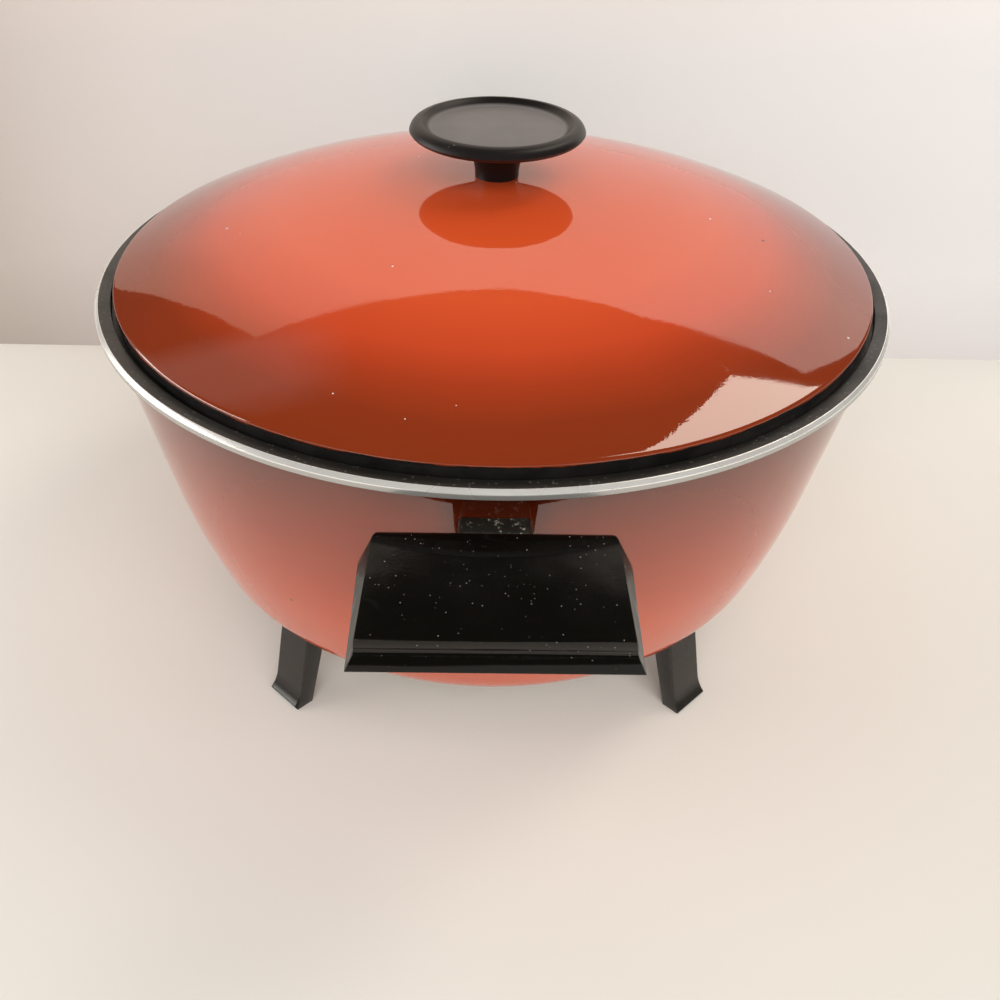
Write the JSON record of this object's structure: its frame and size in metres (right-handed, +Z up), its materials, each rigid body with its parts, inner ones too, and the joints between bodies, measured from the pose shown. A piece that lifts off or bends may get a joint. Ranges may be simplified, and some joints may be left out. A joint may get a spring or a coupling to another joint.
{
  "type": "electric skillet",
  "caption": "Deep round electric skillet on short legs, with a lift-off domed lid, front and back grips, and an element with plug pins and a probe tube under the base.",
  "frame": {"origin": "on the table, on the bowl's axis, in the plane that the four legs stand on", "axes": "+Z up along the bowl's axis, +Y towards the back grip and the plug pins, -Y towards the front grip, +X to the right seen from the front"},
  "size_m": [0.3066, 0.408, 0.2171],
  "materials": {
    "bowl_enamel": "spun aluminium; orange porcelain enamel outside, black non-stick coating inside, bare turned lip",
    "sheath_steel": "dull steel sheath, lightly heat-stained",
    "pin_metal": "plated steel plug pins",
    "bead_ceramic": "unglazed white ceramic",
    "block_aluminium": "cast aluminium",
    "tube_steel": "drawn steel tube",
    "guard_paint": "pressed steel, black stove enamel",
    "screw_zinc": "zinc-plated slotted screws",
    "leg_moulding": "black phenolic moulding, satin",
    "handle_moulding": "black phenolic moulding, high gloss",
    "bracket_paint": "pressed steel, black paint worn at the edges",
    "stud_aluminium": "aluminium stud welded to the bowl",
    "lid_enamel": "spun aluminium; orange porcelain enamel outside shading to dark red at the edge, black skirt and inside",
    "knob_moulding": "black phenolic moulding, polished",
    "insert_brass": "brass",
    "washer_steel": "steel"
  },
  "bodies": {
    "cooker": {"bowl": "bowl_enamel", "heating_element": "sheath_steel", "plug_pins": "pin_metal", "pin_beads": "bead_ceramic", "probe_block": "block_aluminium", "probe_tube": "tube_steel", "terminal_guard": "guard_paint", "guard_screws": "screw_zinc", "leg_rear_right": "leg_moulding", "leg_rear_left": "leg_moulding", "leg_front_left": "leg_moulding", "leg_front_right": "leg_moulding", "leg_washers": "screw_zinc", "leg_screws": "screw_zinc", "rear_handle": "handle_moulding", "front_handle": "handle_moulding", "rear_handle_bracket": "bracket_paint", "front_handle_bracket": "bracket_paint", "handle_studs": "stud_aluminium", "handle_washers": "screw_zinc", "handle_screws": "screw_zinc"},
    "lid_assembly": {"lid": "lid_enamel", "lid_knob": "knob_moulding", "knob_insert": "insert_brass", "knob_washer": "washer_steel", "knob_screw": "washer_steel"}
  },
  "joints": [
    {"name": "lid_lift", "type": "slide", "parent": "cooker", "child": "lid_assembly", "axis": [0, 0, 1], "range_m": [0, 0.15]}
  ]
}
